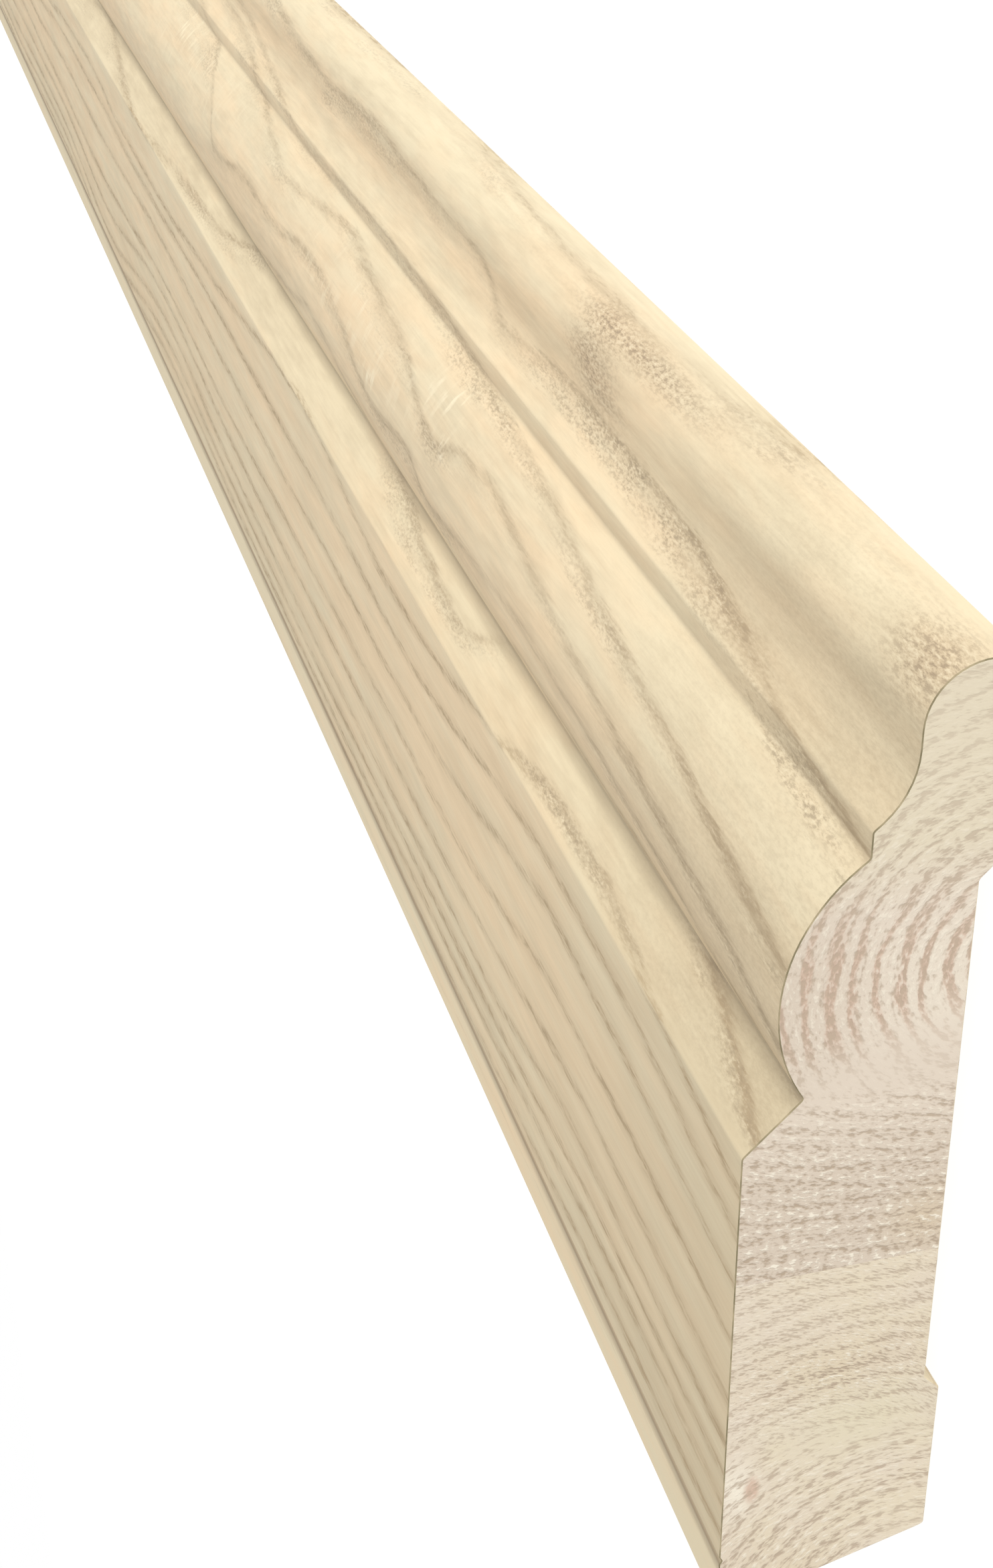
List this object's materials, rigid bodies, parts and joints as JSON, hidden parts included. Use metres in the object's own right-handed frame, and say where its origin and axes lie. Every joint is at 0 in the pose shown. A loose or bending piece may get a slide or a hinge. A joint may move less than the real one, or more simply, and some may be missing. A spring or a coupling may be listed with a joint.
{
  "type": "skirting board length",
  "caption": "Straight length of moulded softwood skirting board with an ovolo and cove top, a square-sawn end and a shallow channel along the back.",
  "frame": {"origin": "middle of the length and of the height, on the plane of the two back lands, which is the floor when the board lies on its back", "axes": "+X along the length, +Y towards the moulded edge that is uppermost on a wall, +Z out of the moulded face"},
  "size_m": [2.4, 0.095, 0.02],
  "materials": {
    "pine": "planed untreated pine, matt, with straight and flame grain on the faces and growth rings on the sawn ends"
  },
  "bodies": {
    "root": {"skirting_board": "pine"}
  },
  "joints": []
}
